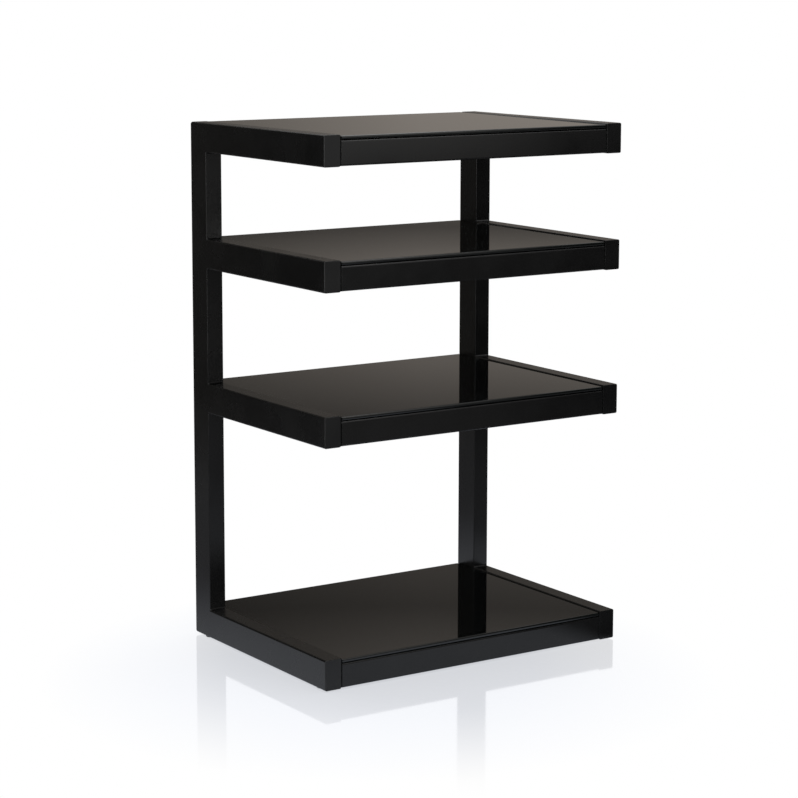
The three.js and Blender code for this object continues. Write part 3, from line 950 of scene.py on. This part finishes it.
def painted_reflection_scrim():
    """Sheet of painted reflection that only the gloss sees: it lets through as much of what lies behind
    it as its shade, which is a tint round the rack times a grey by height, and adds light for the rest, a
    glow though it is no lamp, so that the floor, the one thing that its light falls on, still mirrors
    plain white."""
    material, tree, place = empty_material("painted_reflection_scrim")
    turn_share = add(tree, "ShaderNodeTexGradient", {"Vector": place}, gradient_type="RADIAL")
    tint = add(tree, "ShaderNodeValToRGB", {"Fac": turn_share.outputs["Fac"]},
               stops=[(degrees / 360 + 0.5, colour) for degrees, colour in SCRIM_TINTS])
    axes = add(tree, "ShaderNodeSeparateXYZ", {"Vector": place}).outputs
    front_grey = add(tree, "ShaderNodeValToRGB", {"Fac": axes["Z"]}, stops=FRONT_GREYS)
    back_grey = add(tree, "ShaderNodeValToRGB", {"Fac": axes["Z"]}, stops=BACK_GREYS)
    behind = add(tree, "ShaderNodeMapRange",
                 {"Value": axes["Y"], "From Min": FRONT_TO_BACK[0], "From Max": FRONT_TO_BACK[1]})
    beside = add(tree, "ShaderNodeMapRange",
                 {"Value": axes["X"], "From Min": FAR_LEFT[0], "From Max": FAR_LEFT[1],
                  "To Min": 1.0, "To Max": 0.0})
    grey = add(tree, "ShaderNodeMix", {"Factor": behind, "A": front_grey, "B": back_grey},
               data_type="RGBA")
    cleared = add(tree, "ShaderNodeMix", {"Factor": beside, "A": grey, "B": linear(WHITE)},
                  data_type="RGBA")
    dark = add(tree, "ShaderNodeVectorMath", {0: tint, 1: cleared}, operation="MULTIPLY")
    shade = add(tree, "ShaderNodeVectorMath", {0: dark, 1: linear(SCRIM_LEAST_REFLECTION)[:3]}, operation="ADD")
    rest = add(tree, "ShaderNodeVectorMath", {0: (1.0, 1.0, 1.0), 1: shade}, operation="SUBTRACT")
    dimmed = add(tree, "ShaderNodeBsdfTransparent", {"Color": shade})
    glow = add(tree, "ShaderNodeEmission", {"Color": rest, "Strength": 1.0})
    both = add(tree, "ShaderNodeAddShader", {0: dimmed, 1: glow})
    add(tree, "ShaderNodeOutputMaterial", {"Surface": both})
    return material


def receivers(name, pieces):
    """Collection of the only pieces that a light falls on."""
    collection = bpy.data.collections.new(name)
    for piece in pieces:
        collection.objects.link(piece)
    return collection


def make_scrim(floor):
    """Round scrim that only the gloss shows: it paints darker reflections of the white background into
    the gloss, where a studio would stand black flags. Its own light falls on the floor alone."""
    mesh = bmesh.new()
    bmesh.ops.create_cone(mesh, cap_ends=False, segments=SCRIM_STEPS, radius1=SCRIM_RADIUS,
                          radius2=SCRIM_RADIUS, depth=SCRIM_HEIGHT)
    bmesh.ops.translate(mesh, verts=mesh.verts, vec=(0, 0, SCRIM_HEIGHT / 2))
    data = bpy.data.meshes.new("gloss_only_painted_scrim")
    mesh.to_mesh(data)
    mesh.free()
    data.materials.append(painted_reflection_scrim())
    scrim = link(bpy.data.objects.new("gloss_only_painted_scrim", data))
    scrim.visible_camera = False
    scrim.visible_diffuse = False
    scrim.visible_transmission = False
    scrim.visible_shadow = False
    scrim.light_linking.receiver_collection = receivers("floor_only", [floor])


def soft_light(name, place, target, size, power, colour, lit=()):
    """Soft box at a place, pointing at a target, which lights only these pieces where they are given."""
    light = bpy.data.lights.new(name, "AREA")
    light.shape = "RECTANGLE"
    light.size, light.size_y = size
    light.energy = power
    light.color = linear(colour)[:3]
    box = link(bpy.data.objects.new(name, light))
    box.location = place
    box.rotation_euler = (Vector(target) - Vector(place)).to_track_quat("-Z", "Y").to_euler()
    box.visible_camera = False
    if lit:
        box.light_linking.receiver_collection = receivers(f"lit_by_{name}", lit)


def main():
    """Builds the dressed rack, the stage, the camera and the lights. The left soft box is flagged off the
    glass and the floor, and lights the coated steel alone."""
    bpy.context.scene.view_settings.view_transform = "Standard"
    make_camera()
    make_world()
    floor = make_floor()
    make_scrim(floor)

    plate_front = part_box("top_left_arm")[0].y
    left_coat = powder_coat("satin_black_left_coat", **LEFT_COAT, plate_front=plate_front)
    right_coat = powder_coat("satin_black_right_coat", **RIGHT_COAT)
    coated = [side_frame("left", left_coat), side_frame("right", right_coat)]
    coated += make_beams(powder_coat("satin_black_beam_coat", **BEAM_COAT))
    make_spigots(bare_steel())
    make_screws(black_oxide())
    make_pads(clear_silicone())
    make_glides(moulded_polyethylene())
    face_glass, edge_glass = black_glass(), polished_edge()
    for level in LEVELS:
        glass_shelf(level, face_glass, edge_glass)
    soft_light("overhead_softbox", **OVERHEAD_BOX)
    soft_light("left_softbox", **LEFT_BOX, lit=coated)


main()
